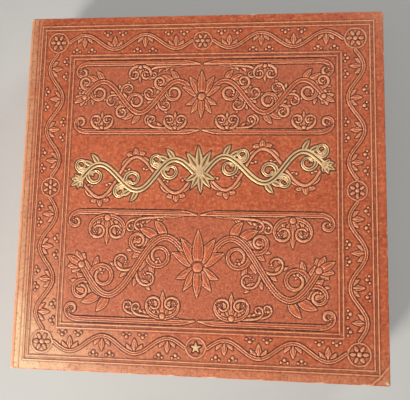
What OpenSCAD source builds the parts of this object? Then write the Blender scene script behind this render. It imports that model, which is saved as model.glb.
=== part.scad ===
// Postcard album, lying closed on its back cover.
// The spine is towards -X and the head towards +Y.
// The origin is the centre of the album's outline, on the back cover's outer face.

/* [Cards] */
// Length of a card that a leaf holds
card_w = 140; // [120:1:160]
// Height of a card that a leaf holds
card_h = 90; // [80:1:110]
// Columns of cards on a leaf
card_columns = 2; // [1:1:3]
// Rows of cards on a leaf
card_rows = 3; // [2:1:4]
// Bare stretch beside each card
card_gap_x = 8; // [4:0.5:12]
// Bare stretch above and below each card
card_gap_y = 12; // [6:0.5:16]

/* [Slits] */
// Depth of the card's corner that a slit takes in
slit_depth = 7; // [5:0.5:10]
// How far a slit runs on past the card's edges
slit_over = 2; // [1:0.5:3]
// Width of a slit
slit_w = 0.8; // [0.4:0.1:1.2]

/* [Leaves] */
// Number of leaves
leaf_count = 20; // [12:1:21]
// Thickness of a leaf's card
leaf_t = 1.1; // [0.6:0.1:1.4]
// Step from one leaf to the next
leaf_pitch = 2.2; // [2.1:0.1:3]
// Gap between two guards
guard_gap = 0.05; // [0.05:0.05:0.1]
// Width of a guard, from the back of the block
guard_w = 18; // [12:1:26]
// How far the guard's linen laps over its leaf
linen_lap = 10; // [6:1:16]
// Thickness of the linen on a leaf
linen_t = 0.2; // [0.1:0.05:0.25]
// Thickness of the linen lining glued down the back of the block
lining_t = 0.3; // [0.2:0.1:0.6]
// How far the lining stops short of the leaves' head and tail
lining_inset = 12; // [5:1:30]

/* [Case] */
// Thickness of a cover board
board_t = 3; // [2:0.5:4]
// Thickness of the book cloth
cloth_t = 0.5; // [0.3:0.1:0.7]
// Thickness of the endpapers
paper_t = 0.3; // [0.2:0.05:0.4]
// How far the covers stand out past the leaves
square_w = 4; // [2:0.5:8]
// Radius of the covers' corners at the fore edge
corner_r = 2; // [1:0.5:6]
// Width of the cloth turned in over a board
turn_in = 15; // [10:1:25]
// Width of the cloth turned in over the spine card
spine_turn_in = 12; // [8:1:20]
// Thickness of the spine card
spine_card_t = 1; // [0.6:0.2:2]
// Gap between the spine and the lining of the block
spine_gap = 1.7; // [1:0.1:4]
// How far the block's back stands past the boards' spine edge
block_overhang = 1; // [0:0.5:2]
// Gap on each side of a flyleaf
page_gap = 0.1; // [0.1:0.05:0.3]

/* [Relief] */
// Height of the blind relief over the cloth's ground
relief_h = 0.6; // [0.3:0.1:0.8]
// Distance from the cover's edge to the outer line of the frame
frame_inset = 8; // [5:0.5:12]
// Width of a framing line
line_w = 1.2; // [0.8:0.1:1.6]
// Step from a framing line to its twin
line_step = 3.6; // [3:0.1:5]
// Width of the vine border between its framing lines
border_w = 24; // [22:1:34]
// Radius of a corner rosette
rosette_r = 10; // [8:0.5:12]
// Waves of the vine from a side's middle to its corner
vine_waves = 2; // [1:1:3]
// How far the vine swings to each side
wave_rise = 7; // [5:0.5:9]
// Length of a vine leaf
vine_leaf_l = 13; // [10:0.5:17]
// Width of a vine leaf
vine_leaf_w = 5; // [4:0.5:7]
// Radius of a berry
berry_r = 1.5; // [1:0.1:2]
// Width of a stem
stem_w = 2.8; // [1.6:0.1:3.4]

/* [Scrolls] */
// Bends of the lower scroll on each side of its middle
low_bends = 2; // [1:1:3]
// How far the lower scroll swings to each side
low_rise = 26; // [16:1:28]
// Bends of the upper scroll on each side of its middle
high_bends = 3; // [2:1:4]
// How far the upper scroll swings to each side
high_rise = 15; // [8:1:16]

/* [Gilt] */
// Height of the gilt work over the cloth's ground
gilt_h = 0.4; // [0.1:0.1:0.8]
// Bends of the gilt scroll on each side of its middle
gilt_bends = 3; // [2:1:4]
// How far the gilt scroll swings to each side
gilt_rise = 13; // [8:1:15]
// Width of the gilt scroll's stem
gilt_stem_w = 4.6; // [2.5:0.1:5.4]
// Height of the band that holds the gilt scroll
gilt_band = 66; // [54:1:74]
// How far the band's middle lies above the cover's middle
gilt_up = 15; // [0:1:24]
// Slope of the gilt scroll towards the fore edge, in degrees
gilt_slope = 4; // [0:0.5:6]
// Radius of the gilt star
star_r = 5; // [3:0.5:7]
// Ground left clear round the star
star_gap = 2.8; // [1.5:0.1:4]

/* [Hidden] */
$fn = 48;
// Small overrun that lets one cut pass another face
cut = 1;

// Outline of the leaves and the covers
leaf_w = guard_w + card_columns * card_w + (card_columns + 1) * card_gap_x;
leaf_h = card_rows * card_h + (card_rows + 1) * card_gap_y;
cover_w = leaf_w - block_overhang + square_w;
cover_h = leaf_h + 2 * square_w;
shoulder_r = 2 * cloth_t + spine_card_t + spine_gap + lining_t + block_overhang;
album_w = cover_w + shoulder_r;
joint_x = shoulder_r - album_w / 2;
back_x = joint_x - shoulder_r;
cover_x = joint_x + cover_w / 2;
block_x = joint_x - block_overhang;

// Heights through the closed album
inner_z = cloth_t + board_t;
turned_z = inner_z + cloth_t;
cover_t = turned_z + paper_t;
back_fly_z = cover_t + page_gap;
block_z = back_fly_z + paper_t + page_gap;
block_top_z = block_z + leaf_count * leaf_pitch;
front_fly_z = block_top_z + page_gap;
front_cover_z = front_fly_z + paper_t + page_gap;
ground_z = front_cover_z + cover_t;
guard_t = leaf_pitch - guard_gap;
leaf_up = (guard_t - leaf_t) / 2;

// Framing lines, border and field of the cover's ornament, as insets from the cover's edge
frame_2 = frame_inset + line_step;
border_in = frame_2 + line_w + border_w;
frame_4 = border_in + line_step;
field_in = frame_4 + line_w;
field_w = cover_w - 2 * field_in;
field_h = cover_h - 2 * field_in;
// Half the width and height of the vine's path, and the roundel at the middle of each side
path_x = cover_w / 2 - frame_2 - line_w - border_w / 2;
path_y = cover_h / 2 - frame_2 - line_w - border_w / 2;
roundel_r = star_r + star_gap + line_w;
// Feet of the three bands of the field and their heights
gilt_foot = gilt_up - gilt_band / 2;
low_h = gilt_foot + field_h / 2;
high_foot = gilt_up + gilt_band / 2;
high_h = field_h / 2 - high_foot;
// Degrees in a radian, which turn a radius into a bend per millimetre
deg = 180 / PI;
// Radius of a volute at its start and at its end, as shares of its bend
curl_out = 0.42;
curl_in = 0.12;
// Turns of a blind volute, and of a gilt one with its thicker stem
blind_turns = 1.45;
gilt_turns = 1.15;
// Lesser curl over each crest: its place along the bend, its radii as shares of the bend, and its turns
lesser_at = 0.27;
lesser_out = 0.33;
lesser_in = 0.1;
lesser_turns = 0.95;
// Lesser curl's lean off the stem's slope, in degrees, and its size against the main one's
lesser_lean = 8;
lesser_size = 0.8;
// Leaves on a volute: place along it, side, turn from its heading, and size
VOLUTE_LEAVES = [[0, 1, 60, 1], [0.1, 1, 50, 1], [0.2, 1, 45, 0.9], [0.3, 1, 45, 0.8], [0.28, -1, 50, 0.6]];
// Length of a scroll's leaf as a share of its bend, and a leaf's width as a share of its length
scroll_leaf = 0.34;
leaf_slim = 0.4;
// Length of an outer leaf as a share of the one between
outer_leaf = 0.8;
// Steps in half the outline of a leaf, in a bend of a stem and in a volute
leaf_steps = 4;
bend_steps = 12;
volute_steps = 26;

function leaf_name(i) = str("leaf_", i < 10 ? "0" : "", i);
function guard_name(i) = str("guard_", i < 10 ? "0" : "", i);
// Foot of leaf i, counted from the front of the album
function leaf_z(i) = block_z + (leaf_count - i) * leaf_pitch;

// Direction across a line of points at point i
function across(p, i) =
    let (a = p[max(i - 1, 0)], b = p[min(i + 1, len(p) - 1)], d = (b - a) / norm(b - a))
    [-d[1], d[0]];
// Outline of a stroke along points p, its width going from w0 to w1
function stroke(p, w0, w1) =
    let (n = len(p) - 1, half = [for (i = [0:n]) (w0 + (w1 - w0) * i / n) / 2])
    concat(
        [for (i = [0:n]) p[i] + across(p, i) * half[i]],
        [for (i = [n:-1:0]) p[i] - across(p, i) * half[i]]
    );
// Points of a stem that swings by rise to each side, n bends long
function waves(l, rise, n, steps) =
    [for (i = [0:n * steps]) [l * i / (n * steps), rise * sin(180 * i / steps)]];
// Points of a line that sets out from p with heading a and bends by k0 to k1 degrees a millimetre
function flow(p, a, k0, k1, l, n) =
    let (d = l / n)
    [for (i = 0, q = p, h = a; i <= n;
        k = (k0 + (k1 - k0) * (i + 0.5) / n) * d,
        q = q + d * [cos(h + k / 2), sin(h + k / 2)],
        h = h + k,
        i = i + 1) q];
// Heading of that line at fraction f of its length
function flow_heading(a, k0, k1, l, f) = a + l * f * (k0 + (k1 - k0) * f / 2);
// Outline of a pointed leaf along +X
function leaf_outline(l, w, n) =
    let (side = [for (i = [0:n]) [l * i / n, w / 2 * sin(180 * pow(i / n, 0.8))]])
    concat(side, [for (i = [n - 1:-1:1]) [side[i][0], -side[i][1]]]);
// Star of five points
function star(r_out, r_in) =
    [for (i = [0:9]) let (r = i % 2 == 0 ? r_out : r_in) r * [sin(36 * i), cos(36 * i)]];

// Outline of a cover, drawn in by d at its three free edges
module cover_outline(d) {
    r = corner_r - min(d, corner_r / 2);
    w = cover_w - d;
    h = cover_h - 2 * d;
    translate([joint_x, -h / 2]) square([w - r, h]);
    translate([joint_x, -h / 2 + r]) square([w, h - 2 * r]);
    for (side = [-1, 1]) translate([joint_x + w - r, side * (h / 2 - r)]) circle(r);
}

// Cover board in the back cover's place
module board() {
    translate([0, 0, cloth_t]) linear_extrude(board_t) cover_outline(cloth_t);
}

// Book cloth round a board: outer face, edges and turn-ins
module case_cloth() {
    difference() {
        linear_extrude(turned_z) cover_outline(0);
        board();
        translate([joint_x - cut, -cover_h / 2 + cloth_t, cloth_t])
            cube([2 * cut, cover_h - 2 * cloth_t, board_t]);
        translate([joint_x - cut, turn_in - cover_h / 2, inner_z])
            cube([cover_w - turn_in + cut, cover_h - 2 * turn_in, cloth_t + cut]);
    }
}

// Endpaper pasted over the board and the turn-ins
module pastedown() {
    translate([joint_x, -leaf_h / 2, turned_z]) cube([cover_w - square_w, leaf_h, paper_t]);
    translate([joint_x, turn_in - cover_h / 2, inner_z])
        cube([cover_w - turn_in, cover_h - 2 * turn_in, cloth_t]);
}

// Loose endpaper with its foot at height z
module flyleaf(z) {
    translate([joint_x, -leaf_h / 2, z]) cube([cover_w - square_w, leaf_h, paper_t]);
}

// Cloth bent a quarter round from a cover to the spine
module joint_cloth() {
    translate([joint_x, 0, shoulder_r]) rotate([90, 0, 0])
        linear_extrude(cover_h, center = true) intersection() {
            difference() {
                circle(shoulder_r);
                circle(shoulder_r - cloth_t);
            }
            translate([-shoulder_r, -shoulder_r]) square(shoulder_r);
        }
}

// Puts a back cover's piece in the front cover's place
module to_front() {
    translate([0, 0, ground_z]) mirror([0, 0, 1]) children();
}

module back_cloth() { color([0.66, 0.36, 0.26]) case_cloth(); }
module back_board() { color([0.72, 0.66, 0.54]) board(); }
module back_pastedown() { color([0.86, 0.80, 0.68]) pastedown(); }
module back_flyleaf() { color([0.88, 0.83, 0.72]) flyleaf(back_fly_z); }
module back_joint_cloth() { color([0.74, 0.44, 0.32]) joint_cloth(); }
module front_board() { color([0.72, 0.66, 0.54]) to_front() board(); }
module front_pastedown() { color([0.86, 0.80, 0.68]) to_front() pastedown(); }
module front_flyleaf() { color([0.88, 0.83, 0.72]) flyleaf(front_fly_z); }
module front_joint_cloth() { color([0.74, 0.44, 0.32]) to_front() joint_cloth(); }

module front_cloth() {
    color([0.72, 0.40, 0.29]) {
        to_front() case_cloth();
        translate([cover_x, 0, ground_z]) linear_extrude(relief_h) blind_ornament();
    }
}

// Cloth of the spine, turned in over the card at head and tail
module spine_cloth() {
    depth = 2 * cloth_t + spine_card_t;
    z0 = shoulder_r;
    h = ground_z - 2 * shoulder_r;
    color([0.72, 0.42, 0.31]) difference() {
        translate([back_x, -cover_h / 2, z0]) cube([depth, cover_h, h]);
        translate([back_x + cloth_t, cloth_t - cover_h / 2, z0 - cut])
            cube([spine_card_t, cover_h - 2 * cloth_t, h + 2 * cut]);
        translate([back_x + cloth_t + spine_card_t, spine_turn_in - cover_h / 2, z0 - cut])
            cube([cloth_t + cut, cover_h - 2 * spine_turn_in, h + 2 * cut]);
    }
}

module spine_card() {
    color([0.70, 0.63, 0.50]) translate([back_x + cloth_t, cloth_t - cover_h / 2, shoulder_r])
        cube([spine_card_t, cover_h - 2 * cloth_t, ground_z - 2 * shoulder_r]);
}

module block_lining() {
    color([0.84, 0.80, 0.70]) translate([block_x - lining_t, lining_inset - leaf_h / 2, block_z])
        cube([lining_t, leaf_h - 2 * lining_inset, leaf_count * leaf_pitch - guard_gap]);
}

// Slits that take the four corners of one card, centred on the card
module card_slits() {
    slit_l = 2 * (slit_depth + slit_over);
    back = slit_depth / sqrt(2);
    for (sx = [-1, 1]) for (sy = [-1, 1])
        translate([sx * (card_w / 2 - back), sy * (card_h / 2 - back)])
            rotate(-sx * sy * 45) square([slit_l, slit_w], center = true);
}

// Card leaf i with its slits
module card_leaf(i) {
    x0 = block_x + guard_w;
    color([0.62, 0.60, 0.50]) translate([0, 0, leaf_z(i) + leaf_up]) linear_extrude(leaf_t) difference() {
        translate([x0, -leaf_h / 2]) square([leaf_w - guard_w, leaf_h]);
        for (c = [0:card_columns - 1]) for (r = [0:card_rows - 1])
            translate([
                x0 + card_gap_x + card_w / 2 + c * (card_w + card_gap_x),
                card_gap_y + card_h / 2 + r * (card_h + card_gap_y) - leaf_h / 2
            ]) card_slits();
    }
}

// Guard of leaf i: a strip of card under linen that laps over both faces of the leaf
module guard(i) {
    x1 = block_x + guard_w;
    x2 = x1 + linen_lap;
    top = leaf_up + leaf_t;
    color([0.80, 0.77, 0.68]) translate([0, 0, leaf_z(i)]) rotate([90, 0, 0])
        linear_extrude(leaf_h, center = true) polygon([
            [block_x, 0], [x1, 0], [x1, leaf_up - linen_t], [x2, leaf_up - linen_t],
            [x2, leaf_up], [x1, leaf_up], [x1, top], [x2, top],
            [x2, top + linen_t], [x1, top + linen_t], [x1, guard_t], [block_x, guard_t]
        ]);
}

// Frame of line_w round the cover, d in from its edge
module frame_line(d) {
    difference() {
        square([cover_w - 2 * d, cover_h - 2 * d], center = true);
        square([cover_w - 2 * (d + line_w), cover_h - 2 * (d + line_w)], center = true);
    }
}

// Children as they are, or turned over left to right where s is below 0
module flip_x(s) {
    if (s < 0) mirror([1, 0]) children();
    else children();
}

// Children as they are, or turned over top to bottom where s is below 0
module flip_y(s) {
    if (s < 0) mirror([0, 1]) children();
    else children();
}

module ring(r) {
    difference() {
        circle(r);
        circle(r - line_w);
    }
}

// Rosette: a ring round a boss and six petals
module rosette(r) {
    boss_r = r * 0.2;
    petal_x = r * 0.3;
    petal_l = r * 0.5;
    ring(r);
    circle(boss_r);
    for (a = [0:60:300]) rotate(a) translate([petal_x, 0])
        polygon(leaf_outline(petal_l, petal_l * 0.6, leaf_steps));
}

// Vine of length l: a swinging stem with three leaves and two berries in each bend
module vine_run(l) {
    n = 2 * vine_waves;
    bend = l / n;
    polygon(stroke(waves(l, wave_rise, n, bend_steps), stem_w, stem_w));
    for (k = [0:n - 1]) translate([bend * (k + 0.5), 0]) flip_y(k % 2 == 0 ? 1 : -1) {
        for (a = [-150, -90, -30]) translate([0, wave_rise]) rotate(a)
            polygon(leaf_outline(vine_leaf_l * (a == -90 ? 1 : outer_leaf), vine_leaf_w, leaf_steps));
        for (side = [-1, 1]) translate([side * bend / 4, -wave_rise]) circle(berry_r);
    }
}

// Side of the border with its roundel in the middle, half the border's path long, off from the cover's middle
module border_side(half, off) {
    start = roundel_r + line_w;
    for (s = [-1, 1]) flip_x(s) translate([start, -off]) vine_run(half - start - rosette_r - line_w);
    translate([0, -off]) ring(roundel_r);
}

// Volute at a bend's crest: a stem that curls in from radius r0 to r1, with leaves along it
module volute(rise, r0, r1, turns, w, leaf_l) {
    k0 = -deg / r0;
    k1 = -deg / r1;
    l = -360 * turns / ((k0 + k1) / 2);
    line = flow([0, rise], 0, k0, k1, l, volute_steps);
    polygon(stroke(line, w * 0.8, w / 2));
    translate(line[volute_steps]) circle(w * 0.55);
    for (v = VOLUTE_LEAVES) translate(line[round(v[0] * volute_steps)])
        rotate(flow_heading(0, k0, k1, l, v[0]) + v[1] * v[2])
            polygon(leaf_outline(leaf_l * v[3], leaf_l * v[3] * leaf_slim, leaf_steps));
}

// Fan of five leaves round a boss, pointing up, or down where up is below 0
module palmette(r, up) {
    boss_r = r * 0.16;
    step = 28;
    circle(boss_r);
    for (i = [-2:2]) rotate(up * 90 + i * step)
        polygon(leaf_outline(r * (1 - 0.1 * abs(i)), r * 0.28, leaf_steps));
}

// Scroll that runs out to both sides of a palmette, half long, with a volute in each of its n bends
module scroll(half, n, rise, w, turns, start, palmette_r) {
    bend = (half - start) / (n + scroll_leaf);
    leaf_l = bend * scroll_leaf;
    l = n * bend;
    lesser_w = w * lesser_size;
    lesser_turn = lesser_lean - atan(rise * PI / bend * sin(180 * lesser_at));
    tail = n % 2 == 0 ? 30 : -30;
    for (s = [-1, 1]) flip_x(s) translate([start, 0]) {
        polygon(stroke(waves(l, rise, n, bend_steps), w, w));
        for (k = [0:n - 1]) translate([bend * (k + 0.5), 0]) flip_y(k % 2 == 0 ? 1 : -1) {
            volute(rise, bend * curl_out, bend * curl_in, turns, w, leaf_l);
            translate([bend * lesser_at, rise * cos(180 * lesser_at)])
                rotate(lesser_turn) flip_y(-1)
                    volute(0, bend * lesser_out, bend * lesser_in, lesser_turns, lesser_w, leaf_l * lesser_size);
        }
        translate([l, 0]) {
            circle(w * 0.7);
            for (a = [-40, 0, 40]) rotate(tail + a)
                polygon(leaf_outline(leaf_l * (a == 0 ? 1 : outer_leaf), leaf_l * leaf_slim, leaf_steps));
        }
    }
    palmette(palmette_r, 1);
    palmette(palmette_r * outer_leaf, -1);
}

// Children cut to a band of the field with its foot at height foot, their own middle at the band's middle
module in_band(foot, h) {
    intersection() {
        translate([0, foot + h / 2]) children();
        translate([-field_w / 2, foot]) square([field_w, h]);
    }
}

module blind_ornament() {
    for (d = [frame_inset, frame_2, border_in, frame_4]) frame_line(d);
    for (sx = [-1, 1]) for (sy = [-1, 1]) translate([sx * path_x, sy * path_y]) rosette(rosette_r);
    for (side = [0, 180]) rotate(side) {
        border_side(path_x, path_y);
        rotate(90) border_side(path_y, path_x);
    }
    in_band(-field_h / 2, low_h)
        scroll(field_w / 2, low_bends, low_rise, stem_w, blind_turns, stem_w * 2, low_rise * 1.4);
    in_band(high_foot, high_h)
        scroll(field_w / 2, high_bends, high_rise, stem_w, blind_turns, stem_w * 2, high_rise * 1.8);
}

module gilt_flourish() {
    color([0.68, 0.60, 0.36]) translate([cover_x, 0, ground_z]) linear_extrude(gilt_h)
        in_band(gilt_foot, gilt_band) rotate(gilt_slope)
            scroll(field_w / 2, gilt_bends, gilt_rise, gilt_stem_w, gilt_turns, gilt_stem_w, gilt_rise * 1.9);
}

module gilt_star() {
    color([0.68, 0.60, 0.36]) translate([cover_x, -path_y, ground_z])
        linear_extrude(gilt_h) polygon(star(star_r, star_r * 0.4));
}

back_cloth();
back_board();
back_pastedown();
back_flyleaf();
back_joint_cloth();
spine_cloth();
spine_card();
block_lining();
front_cloth();
front_board();
front_pastedown();
front_flyleaf();
front_joint_cloth();
gilt_flourish();
gilt_star();
for (i = [1:leaf_count]) card_leaf(i);
for (i = [1:leaf_count]) guard(i);
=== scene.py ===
# Postcard album dressed over its CAD frame
import math
import bpy
import numpy as np
from mathutils import Matrix, Vector


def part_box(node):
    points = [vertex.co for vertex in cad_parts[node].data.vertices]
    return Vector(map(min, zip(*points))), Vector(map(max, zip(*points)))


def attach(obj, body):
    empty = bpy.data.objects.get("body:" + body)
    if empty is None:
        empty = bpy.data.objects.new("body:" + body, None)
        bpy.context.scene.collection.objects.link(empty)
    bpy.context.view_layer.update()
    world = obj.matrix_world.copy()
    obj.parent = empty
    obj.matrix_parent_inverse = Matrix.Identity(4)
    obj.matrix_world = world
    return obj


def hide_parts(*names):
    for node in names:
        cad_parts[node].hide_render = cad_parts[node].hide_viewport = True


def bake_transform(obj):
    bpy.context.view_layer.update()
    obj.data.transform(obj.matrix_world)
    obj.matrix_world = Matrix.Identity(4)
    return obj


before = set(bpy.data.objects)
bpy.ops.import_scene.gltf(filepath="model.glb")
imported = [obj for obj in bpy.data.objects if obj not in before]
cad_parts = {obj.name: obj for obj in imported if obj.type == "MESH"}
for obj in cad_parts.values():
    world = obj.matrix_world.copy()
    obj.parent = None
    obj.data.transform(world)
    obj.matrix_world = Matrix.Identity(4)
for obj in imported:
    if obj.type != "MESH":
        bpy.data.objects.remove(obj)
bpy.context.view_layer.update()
MM = 0.001


def box_mm(node):
    lo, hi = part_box(node)
    return np.array(lo) * 1000, np.array(hi) * 1000


# Places that the CAD gives, in millimetres
cloth_lo, cloth_hi = box_mm("back_cloth")
JOINT_X, FORE_X, HALF_H = cloth_lo[0], cloth_hi[0], cloth_hi[1]
HALF_W = (FORE_X - JOINT_X) / 2
COVER_X = (FORE_X + JOINT_X) / 2
TURNED = cloth_hi[2]
GROUND = box_mm("front_joint_cloth")[1][2]
RELIEF = box_mm("front_cloth")[1][2] - GROUND
SPINE_X = box_mm("spine_cloth")[0][0]
SHOULDER = JOINT_X - SPINE_X
# Thickness of the cloth, radius of the covers' corners and rounding of their edges
CLOTH = 0.5
CORNER = 2.0
EDGE_R = 1.0
# Limits of a cover's flat face from its middle
FACE_X = HALF_W - EDGE_R
FACE_Y = HALF_H - EDGE_R

# Ornament of the cover, in millimetres, as in the part's source
LINE_W, LINE_STEP = 1.2, 3.6
FRAME_INSET, BORDER_W = 8.0, 24.0
BORDER_IN = FRAME_INSET + LINE_STEP + LINE_W + BORDER_W
FRAMES = (FRAME_INSET, FRAME_INSET + LINE_STEP, BORDER_IN, BORDER_IN + LINE_STEP)
# Side and top of the field from the cover's middle
FIELD_X = HALF_W - FRAMES[3] - LINE_W
FIELD_Y = HALF_H - FRAMES[3] - LINE_W
PATH_X = HALF_W - FRAMES[1] - LINE_W - BORDER_W / 2
PATH_Y = HALF_H - FRAMES[1] - LINE_W - BORDER_W / 2
ROSETTE_R, ROUNDEL_R = 10.0, 9.0
WAVE_RISE, VINE_LEAF, VINE_W = 7.0, (13.0, 5.0), 2.9
STAR_OUT, STAR_IN = 5.0, 2.0
GILT_UP, GILT_BAND, GILT_SLOPE, GILT_W = 15.0, 66.0, 4.0, 5.0
LOW_RISE, HIGH_RISE, GILT_RISE = 26.0, 15.0, 13.0
# Foot and top of the bands below and above the gilt work
LOW = (-FIELD_Y, GILT_UP - GILT_BAND / 2)
HIGH = (GILT_UP + GILT_BAND / 2, FIELD_Y)
# Start of the blind scrolls from the middle, and the share of a bend beyond their ends
SCROLL_START, TAIL = 4, 0.32
# A curl's radii at its ends and the length of its leaves, as shares of its bend
CURL_OUT, CURL_IN, LEAF_SHARE = 0.42, 0.12, 0.36
# Steps along a curl, and degrees by which its leaves bend
CURL_STEPS, LEAF_BEND = 72, 22.0
# Share of a bend from a crest to its lesser curl's foot, and shares for radii as above
LESSER_AT, LESSER_OUT, LESSER_IN = 0.27, 0.33, 0.085
TENDRIL_OUT, TENDRIL_IN = 0.95, 0.08
# Head of a ribbon as rows of place along, place across and half width
RIBBON_HEAD = ((2.0, -1.5, 0.7), (6.0, -0.9, 1.2), (11.0, -0.25, 1.9), (16.0, 0.0, 2.2))
# Radius and turn in degrees at the end of a ribbon and of the thinner ones that leave it
RIBBON_R, RIBBON_TURN = 2.7, 414
THIN_R, THIN_TURN = 2.1, 396
# Distance of a ribbon's curl from the field's side, and of a ribbon and a sprig from their band's edge
RIBBON_SHORT, RIBBON_IN, SPRIG_IN = 18.0, 4.0, 6.0
# Sprigs of each band: whether they hang from its top, place in bends, height and stem width
LOW_SPRIGS = ((True, 1.56, 40, 3.4), (False, 0.52, 36, 3.2))
HIGH_SPRIGS = ((True, 1.52, 25, 2.6), (False, 0.56, 25, 2.6), (False, 2.5, 25, 2.6))
# Leaves along each kind of curl: place along it, side, turn from its heading and size
VOLUTE_LEAVES = ((0, 1, 62, 1), (0.08, 1, 54, 1.05), (0.16, 1, 50, 1), (0.24, 1, 46, 0.9),
                 (0.32, 1, 44, 0.8), (0.40, 1, 42, 0.62), (0.22, -1, 52, 0.55), (0.34, -1, 52, 0.42))
SECOND_LEAVES = ((0.1, -1, 50, 0.8), (0.22, -1, 48, 0.9), (0.36, -1, 46, 0.8), (0.3, 1, 50, 0.45))
TENDRIL_LEAVES = ((0.24, 1, 46, 0.8), (0.34, -1, 44, 0.9), (0.5, 1, 44, 0.6), (0.62, -1, 42, 0.6))
SPRIG_LEAVES = ((0.12, -1, 46, 0.9), (0.24, -1, 46, 1.0), (0.36, -1, 44, 0.8))
GILT_LEAVES = ((0, 1, 62, 1), (0.11, 1, 52, 1), (0.22, 1, 46, 0.85))
GILT_SECOND = ((0.12, -1, 50, 0.8), (0.27, -1, 46, 0.7))


def smooth_step(x, a, b):
    """From zero at a to one at b."""
    t = np.clip((x - a) / (b - a), 0, 1)
    return t * t * (3 - 2 * t)


def bell(x, width):
    """One at zero, falling off to both sides over width."""
    return np.exp(-((x / width) ** 2))


def decay(x, width):
    """One at zero, falling off over width."""
    return np.exp(-x / width)


# Materials
def srgb(r, g, b):
    out = []
    for c in (r, g, b):
        c /= 255
        out.append(c / 12.92 if c <= 0.04045 else ((c + 0.055) / 1.055) ** 2.4)
    return (*out, 1.0)


def shade(color, *factors):
    """Colour given by three numbers up to 255, times one factor or three."""
    if len(factors) == 1:
        factors *= 3
    return srgb(*[c * f for c, f in zip(color, factors)])


class Nodes:
    """A material's nodes, with short ways to add and join them."""

    def __init__(self, name, roughness, specular):
        self.m = bpy.data.materials.new(name)
        self.m.use_nodes = True
        self.t = self.m.node_tree
        self.t.nodes.clear()
        out = self.t.nodes.new("ShaderNodeOutputMaterial")
        self.bsdf = self.t.nodes.new("ShaderNodeBsdfPrincipled")
        self.t.links.new(self.bsdf.outputs[0], out.inputs[0])
        self.bsdf.inputs["Roughness"].default_value = roughness
        self.bsdf.inputs["Specular IOR Level"].default_value = specular
        self.co = self.t.nodes.new("ShaderNodeTexCoord").outputs["Object"]

    def set(self, socket, v):
        if isinstance(v, bpy.types.NodeSocket):
            self.t.links.new(v, socket)
        else:
            socket.default_value = v

    def node(self, kind, out=0, props=None, **ins):
        n = self.t.nodes.new(kind)
        for k, v in (props or {}).items():
            setattr(n, k, v)
        for k, v in ins.items():
            k = int(k[1:]) if k[0] == "_" and k[1:].isdigit() else k.replace("_", " ")
            self.set(n.inputs[k], v)
        return n.outputs[out]

    def attr(self, name, out="Fac"):
        return self.node("ShaderNodeAttribute", out, {"attribute_name": name})

    def stretch(self, x, y, z):
        return self.node("ShaderNodeMapping", 0, None, Vector=self.co, Scale=(x, y, z))

    def noise(self, size, detail, rough, co=None):
        return self.node("ShaderNodeTexNoise", 0, None, Vector=co or self.co, Scale=1 / size,
                         Detail=detail, Roughness=rough)

    def cells(self, size, feature="F1"):
        return self.node("ShaderNodeTexVoronoi", "Distance", {"feature": feature}, Vector=self.co,
                         Scale=1 / size)

    def wave(self, period, axis, distortion, detail_scale=2):
        return self.node("ShaderNodeTexWave", "Fac", {"bands_direction": axis}, Vector=self.co,
                         Scale=math.pi / 10 / period, Distortion=distortion, Detail=2,
                         Detail_Scale=detail_scale)

    def ramp(self, v, a, b, c=0.0, d=1.0):
        return self.node("ShaderNodeMapRange", 0, {"interpolation_type": "SMOOTHSTEP"}, Value=v,
                         From_Min=a, From_Max=b, To_Min=c, To_Max=d)

    def math(self, op, a, b=0.0):
        return self.node("ShaderNodeMath", 0, {"operation": op}, _0=a, _1=b)

    def times(self, a, b):
        return self.math("MULTIPLY", a, b)

    def mix(self, f, a, b):
        return self.node("ShaderNodeMix", 2, {"data_type": "RGBA"}, Factor=f, _6=a, _7=b)

    def tint(self, c, v, a, b, strength, color):
        """Colour c, going over to color by strength as v goes from a to b."""
        return self.mix(self.ramp(v, a, b, 0, strength), c, color)

    def split(self, v, i):
        return self.node("ShaderNodeSeparateXYZ", i, None, Vector=v)

    def bump(self, height, distance, strength, **under):
        return self.node("ShaderNodeBump", 0, None, Height=height, Distance=distance,
                         Strength=strength, **under)

    def done(self, color, normal=None, roughness=None):
        self.set(self.bsdf.inputs["Base Color"], color)
        if normal:
            self.set(self.bsdf.inputs["Normal"], normal)
        if roughness:
            self.set(self.bsdf.inputs["Roughness"], roughness)
        return self.m


# Colours that age and stamping give the book cloth, with painted shade in its hollows and painted highlight
# on its ridges
# the first colour is paling that is partly fading and partly a painted sheen of light
FADED_AND_SHEEN, RUBBED, BARE = srgb(244, 206, 158), srgb(220, 158, 122), srgb(226, 205, 176)
MOTTLE_DARK, MOTTLE_PALE = srgb(150, 62, 38), srgb(232, 146, 102)
STREAK_DARK, STREAK_PALE = srgb(122, 46, 30), srgb(234, 156, 112)
PIT, SPECK = srgb(122, 48, 30), srgb(122, 54, 36)
BAND, STIPPLE, GLAZED = srgb(202, 108, 74), srgb(136, 64, 44), srgb(192, 80, 42)
HOLLOW_DIRT_AND_SHADE, RIDGE_RUB_AND_HIGHLIGHT = srgb(68, 25, 14), srgb(242, 168, 122)
# Sizes of the book cloth's textures, in metres
RIB, CROSS_RIB, GRAIN, STREAK, MOTTLE, DENT = 0.00075, 0.0012, 0.0011, 0.0015, 0.0027, 0.0048
BROAD, BLOT, TEAR, DOT = 0.045, 0.009, 0.0042, 0.0013


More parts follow.
